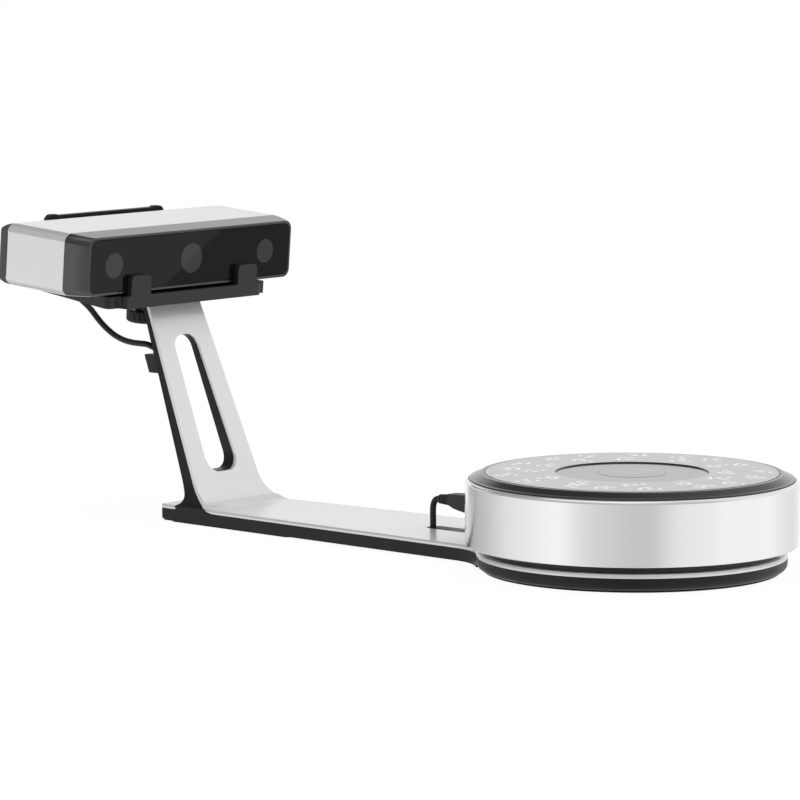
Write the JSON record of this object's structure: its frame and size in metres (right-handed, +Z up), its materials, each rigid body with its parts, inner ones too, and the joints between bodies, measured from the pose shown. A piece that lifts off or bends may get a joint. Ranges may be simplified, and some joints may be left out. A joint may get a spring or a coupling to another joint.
{
  "type": "desktop 3d scanner",
  "caption": "Desktop 3D scanner with a bar-shaped scan head on a slotted leaning column, a long flat base and a motor-driven drum turntable with a coded marker ring.",
  "frame": {"origin": "on the platter's axis, on the surface that the scanner stands on", "axes": "+Z up; +X from the column towards the turntable; +Y to the left of someone who looks along +X"},
  "size_m": [0.6091, 0.212, 0.2056],
  "materials": {
    "silver_skin": "satin painted",
    "casting_black": "fine textured paint",
    "silver_shell": "satin metallic paint",
    "black_moulding": "satin",
    "dark_cover": "satin",
    "front_glass": "polished dark glass",
    "mask_print": "dark print",
    "optics_black": "matt",
    "lens_glass": "coated glass",
    "bare_aluminium": "milled",
    "steel": "bright",
    "brass": "bright",
    "circuit_board": "solder mask",
    "nylon": "moulded",
    "rubber_black": "matt",
    "cable_jacket": "satin",
    "plug_moulding": "satin",
    "platter_black": "satin",
    "marker_print": "fine texture with white printed marks",
    "pad_rubber": "matt"
  },
  "bodies": {
    "base": {"stand_frame": "casting_black", "column_plate": "silver_skin", "base_plate": "silver_skin", "tail_plate": "silver_skin", "bottom_cover": "black_moulding", "rear_foot_pad": "rubber_black", "disc_foot_pad": "rubber_black", "base_screws": "steel", "cable_clip": "black_moulding", "link_cable": "cable_jacket", "head_plug": "plug_moulding", "drum_plug": "plug_moulding", "strain_relief": "plug_moulding", "cradle": "black_moulding", "cradle_pads": "rubber_black", "cradle_screws": "steel", "head_sleeve": "silver_shell", "front_bezel": "black_moulding", "front_glass": "front_glass", "window_mask": "mask_print", "optical_bench": "bare_aluminium", "camera_left": "optics_black", "camera_right": "optics_black", "projector": "optics_black", "camera_lens_left": "lens_glass", "camera_lens_right": "lens_glass", "projector_lens": "lens_glass", "main_board": "circuit_board", "heat_sink": "bare_aluminium", "rear_cover": "dark_cover", "rear_screws": "steel", "usb_socket": "steel", "power_socket": "black_moulding", "link_socket": "black_moulding", "tripod_insert": "brass", "drum_housing": "silver_shell", "drum_chassis": "black_moulding", "housing_screws": "steel", "lower_race": "steel", "motor": "steel", "motor_bracket": "steel", "bracket_screws": "steel", "spindle_bush": "brass", "turntable_board": "circuit_board", "turntable_socket": "black_moulding"},
    "platter": {"platter": "platter_black", "marker_ring": "marker_print", "centre_pad": "pad_rubber", "centre_cap": "pad_rubber", "spindle": "steel", "driven_gear": "nylon", "upper_race": "steel"},
    "cage": {"ball_cage": "brass", "bearing_balls": "steel"},
    "rotor": {"motor_shaft": "steel", "pinion": "brass"},
    "screw_lift": {"thumbscrew_washer": "steel"},
    "screw": {"thumbscrew": "black_moulding"},
    "rocker": {"power_rocker": "black_moulding"}
  },
  "joints": [
    {"name": "platter_turn", "type": "hinge", "parent": "base", "child": "platter", "pos_m": [0, 0, 0.06], "axis": [0, 0, 1], "continuous": true},
    {"name": "cage_turn", "type": "hinge", "parent": "base", "child": "cage", "pos_m": [0, 0, 0.05], "axis": [0, 0, 1], "continuous": true},
    {"name": "rotor_turn", "type": "hinge", "parent": "base", "child": "rotor", "pos_m": [0.0429, 0.036, 0.05], "axis": [0, 0, 1], "continuous": true},
    {"name": "screw_travel", "type": "slide", "parent": "base", "child": "screw_lift", "axis": [-0.0785, 0, -0.9969], "range_m": [0, 0.006]},
    {"name": "screw_turn", "type": "hinge", "parent": "screw_lift", "child": "screw", "pos_m": [-0.42598, 0, 0.13396], "axis": [-0.0785, 0, -0.9969], "range_deg": [0, 1700.9]},
    {"name": "rocker_tilt", "type": "hinge", "parent": "base", "child": "rocker", "pos_m": [-0.45826, 0.036, 0.18264], "axis": [0.0785, 0, 0.9969], "range_deg": [-16, 0]}
  ],
  "couplings": [
    {"joint": "cage_turn", "follows": "platter_turn", "ratio": 0.5},
    {"joint": "rotor_turn", "follows": "platter_turn", "ratio": -6},
    {"joint": "screw_turn", "follows": "screw_travel", "rad_per_m": 4947.4}
  ]
}
